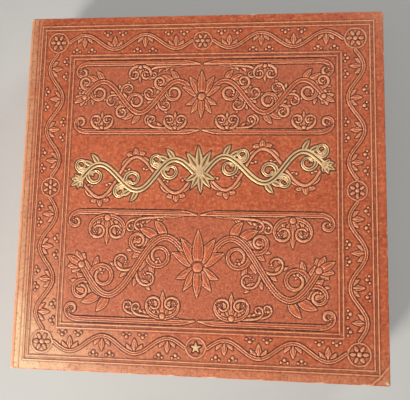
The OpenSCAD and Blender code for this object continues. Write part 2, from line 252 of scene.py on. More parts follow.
def book_cloth(name, ground, stamped):
    """Terracotta book cloth: ribs, mottling, dirt and painted shade in the hollows, ridges paler from rubbing
    and painted highlight, paling from fading and a painted sheen, and pale wear.
    """
    k = Nodes(name, 0.52, 0.36)
    k.bsdf.inputs["Sheen Weight"].default_value = 0.1
    k.bsdf.inputs["Sheen Roughness"].default_value = 0.5
    loud = 1.0 if stamped else 0.5
    ribs = k.wave(RIB, "Y", 1.2, 3)
    cross = k.wave(CROSS_RIB, "X", 2.0, 3)
    grain = k.noise(GRAIN, 3, 0.6, k.stretch(0.55, 1, 1))
    along, across = (k.noise(STREAK, 3, 0.6, k.stretch(*s)) for s in ((0.42, 1, 1), (1, 0.42, 1)))
    streak = k.times(k.math("ADD", along, across), 0.5)
    mottle = k.noise(MOTTLE, 3, 0.66, k.stretch(0.8, 1, 1))
    dents = k.cells(DENT)
    broad = k.noise(BROAD, 3, 0.5)
    blot = k.noise(BLOT, 4, 0.6)
    c = k.tint(shade(ground, 1), broad, 0.3, 0.72, 1, shade(ground, 1.08, 1.14, 1.18))
    c = k.tint(c, blot, 0.42, 0.75, 0.6, shade(ground, 0.84, 0.74, 0.70))
    # paling that is partly fading and partly a painted sheen of light
    c = k.mix(k.attr("fade"), c, FADED_AND_SHEEN)
    c = k.tint(c, mottle, 0.5, 0.72, 0.55 * loud, MOTTLE_DARK)
    c = k.tint(c, mottle, 0.5, 0.3, 0.5 * loud, MOTTLE_PALE)
    c = k.tint(c, dents, 0.2, 0.08, 0.4 * loud, PIT)
    rough = k.ramp(grain, 0.25, 0.8, 0.60, 0.42)
    fine = k.times(ribs, 0.5)
    for v, weight in ((grain, 0.9), (cross, 0.22), (streak, 0.8)):
        fine = k.math("ADD", fine, k.times(v, weight))
    if stamped:
        tone = k.attr("tone", "Color")
        smooth, band, rubbed_highlight = (k.split(tone, i) for i in range(3))
        dots = k.cells(DOT, "SMOOTH_F1")
        c = k.mix(k.times(band, 0.72), c, BAND)
        c = k.mix(k.times(band, k.ramp(dots, 0.25, 0.6, 0, 0.42)), c, STIPPLE)
        c = k.mix(k.times(smooth, 0.8), c, GLAZED)
        fine = k.mix(smooth, fine, k.times(grain, 0.55))
        fine = k.mix(k.times(band, 0.8), fine, k.times(dots, 2.4))
        # painted shade, partly dirt, in the hollows and in a ring round the gilt
        c = k.mix(k.times(k.attr("deep"), k.ramp(blot, 0.2, 0.7, 1.0, 0.85)), c, HOLLOW_DIRT_AND_SHADE)
        # painted highlight on the ridge tops, partly rubbing
        c = k.mix(k.times(rubbed_highlight, k.ramp(blot, 0.3, 0.7, 1.0, 0.75)), c, RIDGE_RUB_AND_HIGHLIGHT)
    c = k.tint(c, streak, 0.51, 0.68, 0.6 * loud, STREAK_DARK)
    c = k.tint(c, streak, 0.48, 0.32, 0.45 * loud, STREAK_PALE)
    c = k.tint(c, grain, 0.5, 0.85, 0.3, SPECK)
    worn = k.math("ADD", k.noise(TEAR, 5, 0.65), k.attr("wear"))
    c = k.tint(c, worn, 0.98, 1.2, 0.55, RUBBED)
    c = k.tint(c, worn, 1.22, 1.32, 1, BARE)
    normal = k.bump(fine, 0.00010, 0.8)
    return k.done(c, k.bump(blot, 0.0006, 0.35, Normal=normal), rough)


# Where the papers brown towards their edges, in metres from the middle
BROWN_X, BROWN_Y = (0.135, 0.163), (0.135, 0.161)
FOXING = srgb(168, 122, 74)


def paper(name, base, toned, edge=True, fibre_size=0.0008):
    """Paper or card: fibres, faint clouds and, with edge, browned edges and a few spots."""
    k = Nodes(name, 0.85, 0.25)
    fibre = k.noise(fibre_size, 4, 0.7, k.stretch(1, 0.4, 1))
    cloud = k.noise(0.03, 3, 0.5)
    c = k.tint(shade(base, 1), cloud, 0.35, 0.7, 1, shade(base, 0.94))
    c = k.tint(c, fibre, 0.5, 0.85, 0.35, shade(base, 0.8))
    if edge:
        x = k.split(k.co, 0)
        y = k.math("ABSOLUTE", k.split(k.co, 1))
        far = k.math("MAXIMUM", k.ramp(x, *BROWN_X), k.ramp(y, *BROWN_Y))
        c = k.mix(k.times(far, k.ramp(cloud, 0.2, 0.8, 0.5, 1)), c, srgb(*toned))
        c = k.tint(c, k.cells(0.021), 0.06, 0.02, 0.5, FOXING)
    return k.done(c, k.bump(fibre, 0.00006, 0.7))


def linen(name, base, pitch=0.0, foot=0.0):
    """Unbleached linen; with pitch, darker each pitch above foot as painted shade in the gaps between guards,
    and a little darker halfway between.
    """
    k = Nodes(name, 0.9, 0.2)
    k.bsdf.inputs["Sheen Weight"].default_value = 0.2
    warp, weft, depth = (k.wave(0.0007, axis, 0.8) for axis in "YXZ")
    weave = k.math("ADD", k.times(warp, weft), k.times(depth, 0.4))
    cloud = k.noise(0.012, 4, 0.6)
    c = k.tint(shade(base, 0.78), weave, 0.1, 0.9, 1, shade(base, 1))
    c = k.tint(c, cloud, 0.45, 0.8, 0.5, shade(base, 0.84))
    if pitch:
        layer = k.math("PINGPONG", k.math("SUBTRACT", k.split(k.co, 2), foot), pitch / 2)
        # painted shade in the gaps between guards
        c = k.tint(c, layer, pitch * 0.16, 0, 0.75, shade(base, 0.42))
        c = k.tint(c, layer, pitch * 0.4, pitch * 0.5, 0.3, shade(base, 0.7))
    return k.done(c, k.bump(weave, 0.00012, 0.8))


def gold():
    """Gold stamping: crests painted bright as painted highlight, edges and grooves dark brown as painted
    shade, with olive blots and grain.
    """
    k = Nodes("gilt", 0.45, 0.5)
    k.bsdf.inputs["Metallic"].default_value = 0.8
    crest = k.attr("crest")
    grain = k.noise(0.0012, 4, 0.65)
    blot = k.noise(0.007, 4, 0.6)
    # painted shade at the edges and grooves, painted highlight on the crests
    c = k.tint(srgb(62, 36, 20), crest, 0.0, 0.42, 1, srgb(204, 166, 112))
    c = k.tint(c, crest, 0.45, 1.0, 1, srgb(242, 204, 160))
    c = k.tint(c, blot, 0.5, 0.75, 0.55, srgb(170, 134, 86))
    c = k.tint(c, grain, 0.56, 0.8, 0.6, srgb(122, 80, 48))
    return k.done(c, k.bump(grain, 0.00012, 0.7), k.ramp(grain, 0.3, 0.8, 0.50, 0.68))


M_COVER = book_cloth("book_cloth_stamped", (189, 88, 50), True)
M_CLOTH = book_cloth("book_cloth", (189, 90, 53), False)
M_GILT = gold()
M_BOARD = paper("grey_board", (176, 160, 132), (150, 132, 104), False, 0.0014)
M_SPINE_CARD = paper("spine_card", (184, 166, 132), (150, 132, 104), False)
M_LEAF = paper("leaf_card", (158, 154, 130), (146, 132, 102))
M_PASTE = paper("pastedown_paper", (222, 208, 180), (190, 164, 124))
M_FLY = paper("flyleaf_paper", (226, 214, 188), (194, 170, 130))
last_lo, last_hi = box_mm("guard_20")
next_lo, _ = box_mm("guard_19")
GUARD_PITCH = (next_lo[2] - last_lo[2]) * MM
GUARD_SEAM = (last_hi[2] + next_lo[2]) / 2 * MM
M_GUARD = linen("guard_linen", (208, 198, 172), GUARD_PITCH, GUARD_SEAM)
M_LINING = linen("lining_linen", (216, 206, 180))


# Meshes
def add_object(name, data):
    o = bpy.data.objects.new(name, data)
    bpy.context.scene.collection.objects.link(o)
    return o


def make_mesh(name, node, verts, quads, material, slot, body=None, normals=None, **attrs):
    """Mesh in a CAD node's place, from points in millimetres and rows of four, with attributes."""
    verts = np.asarray(verts, float).reshape(-1, 3)
    quads = np.asarray(quads, np.int32)
    me = bpy.data.meshes.new(name)
    me.vertices.add(len(verts))
    me.vertices.foreach_set("co", (verts * MM).astype(np.float32).ravel())
    me.loops.add(4 * len(quads))
    me.loops.foreach_set("vertex_index", quads.ravel())
    me.polygons.add(len(quads))
    me.polygons.foreach_set("loop_start", np.arange(0, 4 * len(quads), 4, dtype=np.int32))
    me.update(calc_edges=True)
    me.validate()
    me.polygons.foreach_set("use_smooth", np.ones(len(me.polygons), bool))
    for k, v in attrs.items():
        v = np.asarray(v, np.float32)
        kind, field = ("FLOAT_COLOR", "color") if k == "tone" else ("FLOAT", "value")
        me.attributes.new(k, kind, "POINT").data.foreach_set(field, v.ravel())
    if normals is not None:
        me.normals_split_custom_set_from_vertices([tuple(n) for n in normals])
    me.materials.append(material)
    o = add_object(name, me)
    if body:
        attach(o, body)
    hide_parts(node)
    return o


def grid_quads(rows, cols, start=0, flip=False, wrap=False):
    """Quads between rows x cols points numbered row by row."""
    i, j = np.meshgrid(np.arange(rows - 1), np.arange(cols if wrap else cols - 1), indexing="ij")
    i, j = i.ravel(), j.ravel()
    j2 = (j + 1) % cols
    q = np.stack([i * cols + j, i * cols + j2, (i + 1) * cols + j2, (i + 1) * cols + j], 1) + start
    return q[:, ::-1] if flip else q


def shell_quads(n, m, flip=False):
    """Quads of a thin shell whose outer and inner faces have n x m points each, with walls round it."""
    walls = []
    for line in (0, n - 1):
        i = np.arange(m - 1) + line * m
        walls.append((i, i + 1, line > 0))
    for line in (0, m - 1):
        i = np.arange(n - 1) * m + line
        walls.append((i, i + m, line == 0))
    out = [grid_quads(n, m, flip=flip), grid_quads(n, m, n * m, flip=not flip)]
    for a, b, onward in walls:
        side = np.stack([a, b, b + n * m, a + n * m], 1)
        out.append(side if onward != flip else side[:, ::-1])
    return np.concatenate(out)


# Flowing lines of the ornament, as parts of a kind, a line and the half widths along it
def waves(l, rise, n, steps=16):
    """Line of length l in n bends."""
    x = np.linspace(0, l, n * steps + 1)
    return np.stack([x, rise * np.sin(np.pi * n * x / l)], 1)


def flow(p, a, k0, k1, l, n):
    """Line from p with heading a, which bends by k0 to k1 degrees a millimetre."""
    d = l / n
    k = (k0 + (k1 - k0) * (np.arange(n) + 0.5) / n) * d
    h = np.radians(a + np.concatenate([[0], np.cumsum(k)[:-1]]) + k / 2)
    step = d * np.stack([np.cos(h), np.sin(h)], 1)
    return np.concatenate([[p], np.asarray(p) + np.cumsum(step, 0)])


def spiral(p, a, r, turn, n):
    """Line from p with heading a, which turns to the right by turn degrees in all, down to radius r."""
    k = math.degrees(1) / r
    return flow(p, a, 0, -k, 2 * turn / k, n)


def leaf(p, a, l, w, bend=0.0, n=14):
    """Leaf from p with heading a, whose tip is turned by bend degrees."""
    t = np.linspace(0, 1, n + 1)
    return "leaf", flow(p, a, 0, 2 * bend / l, l, n), w / 2 * np.sin(np.pi * t**0.8)


def fan(p, a, w, bend, leaves):
    """Leaves of width w from p, each given by its angle to heading a and its length."""
    return [leaf(p, a + turn, l, w, turn * bend) for turn, l in leaves]


def bead(x, y, r):
    return "bead", np.array([[x, y]], float), np.array([r])


def stem(line, w, end_w=None):
    """Stem along line, whose width goes from w to end_w."""
    return "stem", line, np.linspace(w, w if end_w is None else end_w, len(line)) / 2


def ruled(line):
    return "line", line, np.full(len(line), LINE_W / 2)


def placed(shape, move=(0, 0), turn=0.0, flip_x=False, flip_y=False):
    """Copies of parts of the ornament, flipped, turned and then moved."""
    c, s = math.cos(math.radians(turn)), math.sin(math.radians(turn))
    out = []
    for kind, pts, half in shape:
        x, y = (pts * (-1 if flip_x else 1, -1 if flip_y else 1)).T
        out.append((kind, np.stack([x * c - y * s, x * s + y * c], 1) + move, half))
    return out


def mirrored(shape, start=0, up=0):
    """Parts moved to start, and their mirror image on the other side."""
    return placed(shape, (start, up)) + placed(shape, (-start, up), flip_x=True)


def on_crests(shape, bend, n):
    """Parts at the middle of each of n bends, upside down on every second one."""
    return [s for k in range(n) for s in placed(shape, (bend * (k + 0.5), 0), flip_y=k % 2 == 1)]


def flower(p, r, n=6):
    """Petals round a bead."""
    return [leaf(p, 360 * i / n, r, r * 0.62, n=6) for i in range(n)] + [bead(*p, r * 0.3)]


def curl(p, heading, r0, r1, turns, w0, w1, leaf_l, side, leaves):
    """A stem with leaves and a flower, which curls in to the right, or to the left with side -1."""
    k0, k1 = -side * math.degrees(1) / r0, -side * math.degrees(1) / r1
    l = 720 * turns / abs(k0 + k1)
    line = flow(p, heading, k0, k1, l, CURL_STEPS)
    out = []
    for f, s, turn, size in leaves:
        head = heading + l * f * (k0 + (k1 - k0) * f / 2) + side * s * turn
        size *= leaf_l
        out.append(leaf(line[round(f * CURL_STEPS)], head, size, size * 0.42, -side * s * LEAF_BEND))
    return out + [stem(line, w0, w1)] + flower(line[-1], r1 * 0.72)


def palmette(r, up):
    """Fan of five leaves that points up, or down with up -1."""
    leaves = [(i * 28, r * (1 - 0.1 * abs(i))) for i in (-2, 2, -1, 1, 0)]
    return fan((0, 0), up * 90, r * 0.28, 9 / 28, leaves) + [bead(0, 0, r * 0.16)]


def bend_width(n, start):
    """Width of each of n bends between start and the side of the field."""
    return (FIELD_X - start) / (n + TAIL)


def scroll(n, rise, w, turns, start, palm_r, leaves=VOLUTE_LEAVES, second=SECOND_LEAVES, tendrils=True):
    """A stem to both sides of a palmette, with a curl under each crest and a lesser one over it."""
    bend = bend_width(n, start)
    l = n * bend
    leaf_l = bend * LEAF_SHARE
    large = curl((0, rise), 0, bend * CURL_OUT, bend * CURL_IN, turns, w, w * 0.4, leaf_l, 1, leaves)
    # the lesser curl leaves the stem past its crest
    x = bend * LESSER_AT
    y = rise * math.cos(math.pi * x / bend)
    slope = math.degrees(math.atan(-rise * math.pi / bend * math.sin(math.pi * x / bend)))
    lesser = curl((x, y), slope + 8, bend * LESSER_OUT, bend * LESSER_IN, 1.2, w * 0.8, w * 0.36,
                  leaf_l * 0.85, -1, second)
    curls = on_crests(lesser + large, bend, n)
    # a pair of thin tendrils where the stem crosses its middle
    steep = math.degrees(math.atan(rise * math.pi / bend))
    for k in range(1, n if tendrils else 1):
        for side in (-1, 1):
            thin = curl((0, 0), -steep - side * 24, bend * TENDRIL_OUT, bend * TENDRIL_IN, 0.9,
                        w * 0.5, w * 0.26, leaf_l * 0.6, side, TENDRIL_LEAVES)
            curls = placed(thin, (k * bend, 0), flip_y=k % 2 == 0) + curls
    end = [(a, bend * 0.32 * (1 - abs(a) * 0.005)) for a in (-64, 64, -34, 34, 0)]
    one = fan((l, 0), 30 if n % 2 == 0 else -30, bend * 0.13, 0.4, end)
    one += [c for c in curls if c[0] == "leaf"]
    one += [c for c in curls if c[0] == "stem"]
    one.append(stem(waves(l, rise, n), w))
    one += [c for c in curls if c[0] == "bead"]
    one.append(bead(l, 0, w * 0.6))
    return mirrored(one, start) + palmette(palm_r, 1) + palmette(palm_r * 0.8, -1)


def under_vine(n, rise, w, start):
    """Thin vine that swings against the gilt scroll, with leaves and two hooks on each crest."""
    bend = bend_width(n, start)
    some = fan((0, -rise), -90, bend * 0.15, 0.5, [(-62, bend * 0.27), (62, bend * 0.27), (0, bend * 0.24)])
    for side in (-1, 1):
        foot = (side * bend * 0.12, -rise * 0.97)
        hook = flow(foot, 90 - side * 78, side, side * 19, bend * 0.62, 36)
        some += [stem(hook, w * 0.8, w * 0.44), bead(*hook[-1], w * 0.5)]
    some.append(bead(0, -rise, w * 0.8))
    return mirrored(on_crests(some, bend, n) + [stem(waves(n * bend, -rise, n), w)], start)


def ribbons(run):
    """Ribbon along an edge, which curls in at the corner, with two thinner ones that curl sooner."""
    head = np.array(RIBBON_HEAD)
    end = spiral((FIELD_X - RIBBON_SHORT, 0), 0, RIBBON_R, RIBBON_TURN, 80)
    width = np.concatenate([head[:, 2], np.linspace(2.3, 0.8, len(end))])
    out = []
    for x, f, drop in ((9, 1.0, 8), (19, 0.62, 9)):
        first = flow((x, -1.2), -drop, 0, 0.22 / f, run * f, 24)
        heading = -drop + 0.11 * run
        second = spiral(first[-1], heading, THIN_R, THIN_TURN, 60)
        thin = np.concatenate([first, second[1:]])
        out += [leaf(thin[i], -38 + heading * 0.5, 7.5, 2.6, -24) for i in (12, 20)]
        out += [stem(thin, 2.5, 1.0), bead(*second[-1], 1.3)]
    out.append(("stem", np.concatenate([head[:, :2], end]), width))
    return mirrored(out + flower(end[-1], 2.6, 5))


def vine_run(l, n=4):
    """Vine of n bends, with three leaves and two bunches of berries in each."""
    bend, rise = l / n, WAVE_RISE
    some = [leaf((0, rise), -90, *VINE_LEAF)]
    small = [size * 0.72 for size in VINE_LEAF]
    for s in (-1, 1):
        some.append(leaf((s * 1.6, rise - 0.8), -90 + s * 44, *small, -s * 22))
        for share, h, r in ((0.25, rise, 1.4), (0.35, rise + 2, 1.0), (0.15, rise + 2.2, 1.0)):
            some.append(bead(s * bend * share, -h, r))
    return on_crests(some, bend, n) + [stem(waves(l, rise, n), VINE_W)]


def sprig(size, w):
    """Lyre of two curls round a fan of leaves, rising from an edge."""
    some = curl((0, size * 0.04), 0, size * 0.8, size * 0.10, 1.3, w, w * 0.4, size * 0.36, -1, SPRIG_LEAVES)
    leaves = [(a, size * f) for a, f in ((-52, 0.3), (52, 0.3), (-27, 0.42), (27, 0.42), (0, 0.6))]
    some = fan((0, size * 0.1), 90, size * 0.15, 0.4, leaves) + mirrored(some)
    return some + [bead(0, size * 0.08, size * 0.07)]


def rosette(r, petals=True):
    """Ring of radius r, with or without six petals round a bead."""
    turn = np.linspace(0, 2 * np.pi, 49)
    out = [ruled((r - LINE_W / 2) * np.stack([np.cos(turn), np.sin(turn)], 1))]
    if petals:
        for a in range(0, 360, 60):
            foot = (r * 0.3 * math.cos(math.radians(a)), r * 0.3 * math.sin(math.radians(a)))
            out.append(leaf(foot, a, r * 0.5, r * 0.3))
        out.append(bead(0, 0, r * 0.2))
    return out


def border():
    """Frame lines, and a vine between rosettes on all four sides."""
    out = []
    for inset in FRAMES:
        x, y = HALF_W - inset - LINE_W / 2, HALF_H - inset - LINE_W / 2
        out.append(ruled(np.array([[-x, -y], [x, -y], [x, y], [-x, y], [-x, -y]], float)))
    start = ROUNDEL_R + LINE_W
    for turn in (0, 90, 180, 270):
        along, across = (PATH_X, PATH_Y) if turn % 180 == 0 else (PATH_Y, PATH_X)
        side = mirrored(vine_run(along - start - ROSETTE_R - LINE_W), start, -across)
        side += placed(rosette(ROUNDEL_R, turn != 0), (0, -across))
        out += placed(side, turn=turn)
    for sx in (-1, 1):
        for sy in (-1, 1):
            out += placed(rosette(ROSETTE_R), (sx * PATH_X, sy * PATH_Y))
    return out


def blind_ornament():
    out = border()
    for foot, top in (LOW, HIGH):
        some = ribbons((top - foot) * 0.44)
        out += placed(some, (0, top - RIBBON_IN)) + placed(some, (0, foot + RIBBON_IN), flip_y=True)
    for n, band, sprigs in ((2, LOW, LOW_SPRIGS), (3, HIGH, HIGH_SPRIGS)):
        for s in (-1, 1):
            for at_top, share, size, w in sprigs:
                x = SCROLL_START + bend_width(n, SCROLL_START) * share
                y = band[1] - SPRIG_IN if at_top else band[0] + SPRIG_IN
                out += placed(sprig(size, w), (s * x, y), flip_y=at_top)
    out += placed(scroll(2, LOW_RISE, 5.0, 1.45, SCROLL_START, LOW_RISE * 1.3), (0, sum(LOW) / 2))
    out += placed(scroll(3, HIGH_RISE, 3.8, 1.35, SCROLL_START, HIGH_RISE * 1.7), (0, sum(HIGH) / 2))
    return out + placed(under_vine(3, GILT_RISE * 1.35, 2.4, GILT_W), (0, GILT_UP), GILT_SLOPE)


def gilt_ornament():
    some = scroll(3, GILT_RISE, GILT_W, 1.15, GILT_W, GILT_RISE * 1.9, GILT_LEAVES, GILT_SECOND, False)
    return placed(some, (0, GILT_UP), GILT_SLOPE)


def star_point(k):
    a = math.radians(36 * k)
    return (STAR_IN if k % 2 else STAR_OUT) * np.array([math.sin(a), math.cos(a)])


# Height of the relief, and depth of the moat beside a stroke and of the bed under the gilt
TOP, MOAT, BED = RELIEF - 0.02, 0.13, 0.16
# Plain margin of a stippled band, and depth and place of the groove beside the joint
BAND_IN, GROOVE, GROOVE_IN = 2.0, 0.14, 4.6
# Length of the creased corner's sides
CREASE_LEG = 16.0
# Distance between the face's points, its tiles to a side, and how much its shading exaggerates slopes
PITCH = 0.46
TILES, CRISP = 3, 1.4
# Rounding of the cloth where it turns in
TURN_R = 0.6


class Relief:
    """Heights over the cover's ground, with the tones that its material reads."""

    def __init__(self, xs, ys):
        self.xs, self.ys = xs, ys
        self.h, self.smooth, self.band, self.gilt_ring_shade = np.zeros((4, len(ys), len(xs)))

    def measure(self, pts, half, reach):
        """Window round a stroke: depth inside it, place along and across, and half width."""
        pad = half.max() + reach
        in_x, in_y = (slice(max(np.searchsorted(line, lo) - 1, 0), np.searchsorted(line, hi) + 1)
                      for line, lo, hi in zip((self.xs, self.ys), pts.min(0) - pad, pts.max(0) + pad))
        x, y = np.meshgrid(self.xs[in_x], self.ys[in_y])
        depth, wide = np.full(x.shape, -9.0), np.full(x.shape, half[0])
        along, off = np.zeros((2, *x.shape))
        if len(pts) == 1:
            depth = half[0] - np.hypot(x - pts[0, 0], y - pts[0, 1])
        start = 0.0
        for a, b, half_a, half_b in zip(pts[:-1], pts[1:], half[:-1], half[1:]):
            l = math.hypot(*(b - a))
            d = (b - a) / l
            t = np.clip((x - a[0]) * d[0] + (y - a[1]) * d[1], 0, l)
            w = half_a + (half_b - half_a) * t / l
            inside = w - np.hypot(x - a[0] - t * d[0], y - a[1] - t * d[1])
            better = inside > depth
            across = (y - a[1]) * d[0] - (x - a[0]) * d[1]
            for kept, v in ((depth, inside), (along, start + t), (off, across), (wide, w)):
                np.copyto(kept, v, where=better)
            start += l
        return (in_y, in_x), depth, along, off, wide

    def press(self, pts, half):
        """Sinks the cloth round and under a gilt stroke, and marks a ring round it for painted shade."""
        where, depth, *_ = self.measure(pts, half, 2.0)
        sunk = smooth_step(depth, -1.8, -0.2)
        self.h[where] = self.h[where] * (1 - sunk) - BED * sunk
        # ring round the stroke, later painted dark as painted shade
        self.gilt_ring_shade[where] = np.maximum(self.gilt_ring_shade[where], smooth_step(depth, -1.3, -0.4))

    def draw(self, kind, pts, half):
        """Raises a stroke with the cross section of its kind, and sinks the cloth beside it."""
        where, depth, along, off, wide = self.measure(pts, half, 1.5)
        side = np.abs(off)
        share = np.clip(depth / half.max(), 0, 1)
        if kind == "line":
            new = 0.6 * np.sqrt(share)
            smooth = 0.0
        elif kind == "bead":
            new = np.sqrt(share * (2 - share))
            smooth = 0.6
        elif kind == "stem":
            thin = np.sqrt(np.clip(1 - (side / np.maximum(wide, 0.1)) ** 2, 0, 1))
            edge = np.sin(np.pi * np.clip(depth, 0, 1))
            middle = bell(side, 0.45) * smooth_step(wide, 1.75, 2.3)
            broad = np.maximum(edge, 0.36 * smooth_step(depth, 0.2, 0.8) + 0.5 * middle)
            share = smooth_step(wide, 0.95, 1.5)
            new = thin * (1 - share) + broad * share
            smooth = 0.75 * smooth_step(depth, 0.3, 0.8)
        else:
            edge = 0.85 * np.sin(np.pi * np.clip(depth / 0.9, 0, 1))
            dome = (0.30 + 0.35 * smooth_step(depth, 0.5, 2.6)) * smooth_step(depth, 0.1, 0.7)
            vein = 0.2 * np.cos(2 * np.pi * (along - 1.15 * side) / 2.3) ** 4
            vein *= smooth_step(side, 0.3, 0.9) * smooth_step(depth, 0.3, 1.1)
            rib = 0.35 * bell(side, 0.42) * smooth_step(depth, 0.2, 0.8)
            new = np.minimum(np.maximum(edge, dome + vein + rib), 1)
            smooth = smooth_step(depth, 0.2, 0.7)
        h = self.h[where]
        if kind != "line":
            moat = smooth_step(depth, -1.5, -0.1) * (depth <= 0.15)
            h = h * (1 - moat) - MOAT * moat
        inside = np.clip(depth / 0.3 + 0.5, 0, 1)
        self.h[where] = h * (1 - inside) + TOP * new * inside
        self.smooth[where] = self.smooth[where] * (1 - inside) + smooth * inside


def blur(v, cells):
    """Mean over a square of cells to each side, taken twice."""
    n = 2 * cells + 1
    for _ in range(4):
        c = np.cumsum(np.pad(v, ((cells + 1, cells), (0, 0)), mode="edge"), 0)
        v = ((c[n:] - c[:-n]) / n).T
    return v


def slow_noise(x, y, size, seed):
    """Smooth wandering between -1 and 1 with features of about size."""
    r = np.random.default_rng(seed)
    out = np.zeros_like(x, float)
    for _ in range(9):
        a = r.uniform(0, 2 * np.pi)
        f = 2 * np.pi / (size * r.uniform(0.6, 1.7))
        out += np.sin(f * (x * math.cos(a) + y * math.sin(a)) + r.uniform(0, 2 * np.pi))
    return out / 4.5


def samples(lo, hi):
    """Places from lo to hi, about PITCH apart."""
    return np.linspace(lo, hi, int(round((hi - lo) / PITCH)) + 1)


def front_relief():
    """Relief of the front cover, its points, its creased corner and the distance past the crease."""
    r = Relief(samples(-HALF_W, FACE_X), samples(-FACE_Y, FACE_Y))
    x, y = np.meshgrid(r.xs, r.ys)
    for foot, top in (LOW, HIGH):
        inside = (top - foot) / 2 - BAND_IN - np.abs(y - (top + foot) / 2)
        inside = np.minimum(FIELD_X - BAND_IN - np.abs(x), inside)
        r.band = np.maximum(r.band, smooth_step(inside, 0, 0.8))
    for part in blind_ornament():
        r.draw(*part)
    for _, pts, half in gilt_ornament():
        r.press(pts, half)
    star = np.array([star_point(k) for k in range(11)]) + (0, -PATH_Y)
    r.press(star, np.full(11, 0.5))
    r.band *= 1 - np.clip(r.smooth * 1.5, 0, 1)
    # groove beside the joint
    r.h -= GROOVE * bell(x + HALF_W - GROOVE_IN, 0.6)
    # creased corner at the fore edge's foot
    past = (x - HALF_W - y - HALF_H + CREASE_LEG) / math.sqrt(2)
    near = (x > HALF_W - CREASE_LEG - 10) & (y < -HALF_H + CREASE_LEG + 10)
    crease = bell(past + 0.7 * slow_noise(x, y, 9, 3), 0.9) * near
    r.h += 0.30 * crease - 0.34 * smooth_step(past, 0.5, 9)
    return r, x, y, crease, past


def ageing(x, y, crease, past, deep):
    """Wear at the front cover's edges, corners and crease, and paling at its spine side and foot that is
    partly fading and partly a painted sheen of light.
    """
    from_spine, from_foot = HALF_W + x, HALF_H + y
    from_end = HALF_H - np.abs(y)
    from_edge = np.minimum(HALF_W - x, from_end)
    corner = np.hypot(HALF_W - x, from_end)
    wear = np.maximum.reduce([
        (0.52 + 0.2 * slow_noise(x, y, 22, 21)) * decay(np.maximum(from_edge - 0.8, 0), 1.8),
        (0.40 + 0.1 * slow_noise(x, y, 40, 23)) * bell(from_spine, 3.2),
        0.72 * bell(corner, 7),
        0.66 * crease,
        (0.52 + 0.12 * slow_noise(x, y, 18, 27)) * bell(np.hypot(from_spine, from_end), 8),
    ])
    wear += 0.12 * smooth_step(past, 0, 6)
    # the broad paling at the spine side's foot is a painted sheen of light as well as fading
    fade = 1.3 * decay(np.hypot(from_spine, from_foot), 44) + 0.36 * bell(from_spine, 7)
    fade += 0.22 * decay(from_foot, 12) + 0.2 * decay(corner, 14)
    return wear, np.clip(fade * (1 + 0.3 * slow_noise(x, y, 30, 31)), 0, 0.9) * (1 - 0.5 * deep)


# Covers
def rounded(x, y):
    """Points of a cover's face, drawn in to its rounded corners."""
    r = CORNER - EDGE_R
    for s in (-1, 1):
        a, b = x - (FACE_X - r), s * y - (FACE_Y - r)
        drawn = np.maximum(a, b) / np.maximum(np.hypot(a, b), 1e-9) - 1
        drawn = np.where((a > 0) & (b > 0), drawn, 0)
        x, y = x + a * drawn, y + s * b * drawn
    return x, y


def around(v):
    """Values of a face along its tail, fore edge and head."""
    return np.concatenate([v[0], v[1:, -1], v[-1, -2::-1]])


def rim(name, x, y, rise, z_of, flip, body, wear_scale=1.0):
    """Cloth over a cover's edges, from its outer face round the board and a little way in."""
    p = np.stack([around(x), around(y)], 1)
    cx = np.clip(p[:, 0], None, HALF_W - CORNER)
    cy = np.clip(p[:, 1], -HALF_H + CORNER, HALF_H - CORNER)
    outward = p - np.stack([cx, cy], 1)
    outward /= np.maximum(np.linalg.norm(outward, axis=1, keepdims=True), 1e-9)
    # rings of the distance out, the depth from the outer face and the wear
    rings = []
    for a in np.radians(np.linspace(0, 90, 7)):
        rings.append((EDGE_R * math.sin(a), EDGE_R * (1 - math.cos(a)), 0.42 + 0.14 * math.sin(2 * a)))
    rings += [(EDGE_R, 1.7, 0.3), (EDGE_R, 2.4, 0.25), (EDGE_R, 3.0, 0.3)]
    for a in np.radians(np.linspace(20, 90, 4)):
        out = EDGE_R - TURN_R * (1 - math.cos(a))
        rings.append((out, TURNED - TURN_R * (1 - math.sin(a)), 0.45))
    rings += [(EDGE_R - 1.5, TURNED, 0.3), (EDGE_R - 6, TURNED - 0.02, 0.1)]
    v, wear = [], []
    for out, depth, worn in rings:
        q = p + (COVER_X, 0) + outward * out
        inner = max(EDGE_R - out, 0)
        q[:, 0] = np.minimum(q[:, 0], FORE_X - inner)
        q[:, 1] = np.clip(q[:, 1], -HALF_H + inner, HALF_H - inner)
        v.append(np.column_stack([q, z_of(depth - rise * max(0, 1 - depth / 1.2))]))
        wander = 0.2 * slow_noise(*q.T, 22, 21) + 0.06 * slow_noise(*q.T, 7, 9)
        wear.append(worn * wear_scale + wander)
    v, wear = np.concatenate(v), np.concatenate(wear)
    node, material = ("front_cloth", M_COVER) if body == "front_cover" else ("back_cloth", M_CLOTH)
    quads = grid_quads(len(rings), len(p), flip=flip)
    make_mesh(name, node, v, quads, material, "cover_cloth", body, wear=wear)


